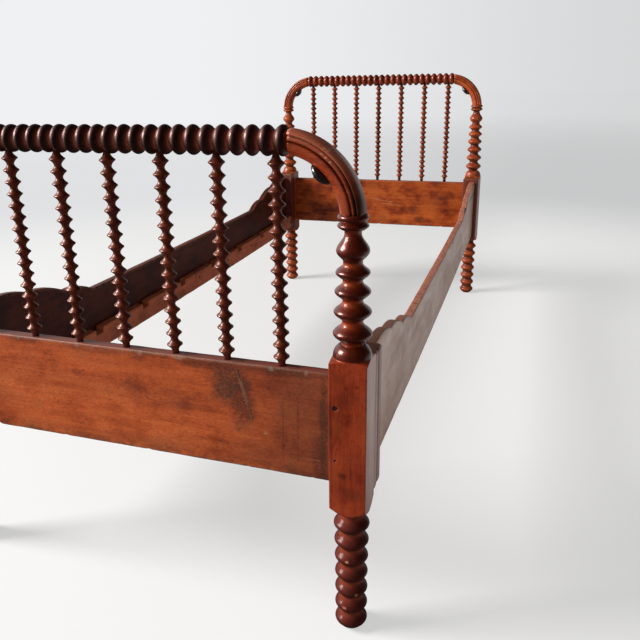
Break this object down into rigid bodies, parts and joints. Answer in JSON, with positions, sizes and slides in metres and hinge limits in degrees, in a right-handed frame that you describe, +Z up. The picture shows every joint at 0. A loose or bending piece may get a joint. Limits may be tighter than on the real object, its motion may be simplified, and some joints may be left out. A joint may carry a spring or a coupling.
{
  "type": "spool-turned bed frame",
  "caption": "Knock-down bed frame with spool-turned posts, arched turned ends, end boards and lobed side rails on iron bed hooks.",
  "frame": {"origin": "on the floor, under the middle of the bed", "axes": "+Z up; +Y along the bed from the foot end to the head end; +X across the bed, to the right seen from the foot end"},
  "size_m": [0.813, 1.93, 0.8569],
  "materials": {
    "post_wood": "aged glossy varnish",
    "arch_wood": "aged glossy varnish",
    "top_rail_wood": "dark aged varnish",
    "spindle_wood": "dark aged varnish",
    "board_wood": "satin varnish",
    "side_wood": "satin varnish",
    "ledger_wood": "plain",
    "end_block_wood": "satin varnish",
    "peg_wood": "plain",
    "button_black": "black gloss",
    "iron": "dark"
  },
  "bodies": {
    "root": {"foot_post_left": "post_wood", "foot_post_right": "post_wood", "head_post_left": "post_wood", "head_post_right": "post_wood", "foot_arch_left": "arch_wood", "foot_arch_right": "arch_wood", "head_arch_left": "arch_wood", "head_arch_right": "arch_wood", "foot_button_left": "button_black", "foot_button_right": "button_black", "head_button_left": "button_black", "head_button_right": "button_black", "foot_top_rail": "top_rail_wood", "head_top_rail": "top_rail_wood", "foot_board": "board_wood", "head_board": "board_wood", "foot_spindle_1": "spindle_wood", "foot_spindle_2": "spindle_wood", "foot_spindle_3": "spindle_wood", "foot_spindle_4": "spindle_wood", "foot_spindle_5": "spindle_wood", "foot_spindle_6": "spindle_wood", "foot_spindle_7": "spindle_wood", "head_spindle_1": "spindle_wood", "head_spindle_2": "spindle_wood", "head_spindle_3": "spindle_wood", "head_spindle_4": "spindle_wood", "head_spindle_5": "spindle_wood", "head_spindle_6": "spindle_wood", "head_spindle_7": "spindle_wood", "side_rail_left": "side_wood", "side_rail_right": "side_wood", "ledger_left": "ledger_wood", "ledger_right": "ledger_wood", "foot_end_block_left": "end_block_wood", "foot_end_block_right": "end_block_wood", "head_end_block_left": "end_block_wood", "head_end_block_right": "end_block_wood", "foot_hook_left": "iron", "foot_hook_right": "iron", "head_hook_left": "iron", "head_hook_right": "iron", "foot_catch_left": "iron", "foot_catch_right": "iron", "head_catch_left": "iron", "head_catch_right": "iron", "hook_screws": "iron", "catch_screws": "iron", "board_pegs": "peg_wood", "board_nails": "iron", "ledger_nail_set": "iron"}
  },
  "joints": []
}
